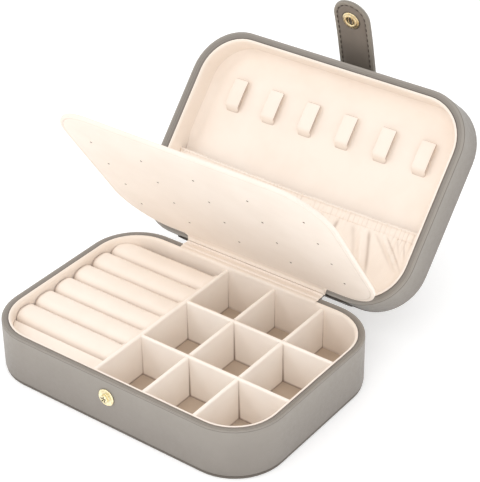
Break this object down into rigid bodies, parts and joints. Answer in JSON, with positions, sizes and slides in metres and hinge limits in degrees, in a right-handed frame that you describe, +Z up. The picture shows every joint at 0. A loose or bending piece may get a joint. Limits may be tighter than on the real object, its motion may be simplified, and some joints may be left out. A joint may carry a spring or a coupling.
{
  "type": "travel jewelry case",
  "caption": "Two-part travel jewelry case with ring rolls, a divided tray, an earring page, lid hooks, an elastic pocket and a snap strap, standing open.",
  "frame": {"origin": "centre of the base's underside, on the surface that it stands on", "axes": "+X to the right along the hinge, seen from the front; +Y from the front to the hinge; +Z up"},
  "size_m": [0.165, 0.2146, 0.1479],
  "materials": {
    "leather": "fine-grained coated leather, satin",
    "strap_leather": "fine-grained coated leather, matt",
    "velvet": "short-pile velvet",
    "velvet_floor": "short-pile velvet on board",
    "velvet_panel": "short-pile velvet over a thin pad",
    "board": "greyboard",
    "gold": "polished gold plating",
    "steel": "plain"
  },
  "bodies": {
    "base": {"base_wall": "leather", "base_bottom": "leather", "base_lining": "velvet", "base_floor": "velvet_floor", "ring_tray": "velvet", "ring_roll_1": "velvet", "ring_roll_2": "velvet", "ring_roll_3": "velvet", "ring_roll_4": "velvet", "ring_roll_5": "velvet", "ring_roll_6": "velvet", "section_divider": "velvet", "divider_y_left": "velvet", "divider_y_right": "velvet", "divider_x_front": "velvet", "divider_x_rear": "velvet", "snap_stud": "gold", "stud_washer": "steel", "base_hinge_flap": "leather", "base_hinge_velvet": "velvet", "hinge_leather": "leather", "hinge_velvet": "velvet"},
    "lid": {"lid_wall": "leather", "lid_top": "leather", "lid_lining": "velvet", "lid_panel": "velvet_panel", "lid_hinge_flap": "leather", "lid_hinge_velvet": "velvet", "pocket_sheet": "velvet", "pocket_elastic": "velvet", "strap_anchor": "leather", "strap_fold": "leather", "necklace_hook_1": "velvet", "necklace_hook_2": "velvet", "necklace_hook_3": "velvet", "necklace_hook_4": "velvet", "necklace_hook_5": "velvet", "necklace_hook_6": "velvet"},
    "page": {"page_board": "board", "page_front_velvet": "velvet", "page_back_velvet": "velvet", "page_hinge_strip": "velvet"},
    "strap": {"strap_outer": "leather", "strap_lining": "strap_leather", "snap_socket": "gold", "snap_cap": "gold"}
  },
  "joints": [
    {"name": "lid_hinge", "type": "hinge", "parent": "base", "child": "lid", "pos_m": [0, 0.0589, 0.0293], "axis": [-1, 0, 0], "range_deg": [-131, 49], "deforming": ["hinge_leather", "hinge_velvet"]},
    {"name": "page_hinge", "type": "hinge", "parent": "base", "child": "page", "pos_m": [0, 0.062, 0.0294], "axis": [-1, 0, 0], "range_deg": [-56.1, 21.1]},
    {"name": "strap_bend", "type": "hinge", "parent": "lid", "child": "strap", "pos_m": [0, 0.15152, 0.10514], "axis": [1, 0, 0], "range_deg": [-53, 37], "deforming": ["strap_fold"]}
  ],
  "couplings": [
    {"joint": "page_hinge", "follows": "lid_hinge", "ratio": 0.42748}
  ]
}
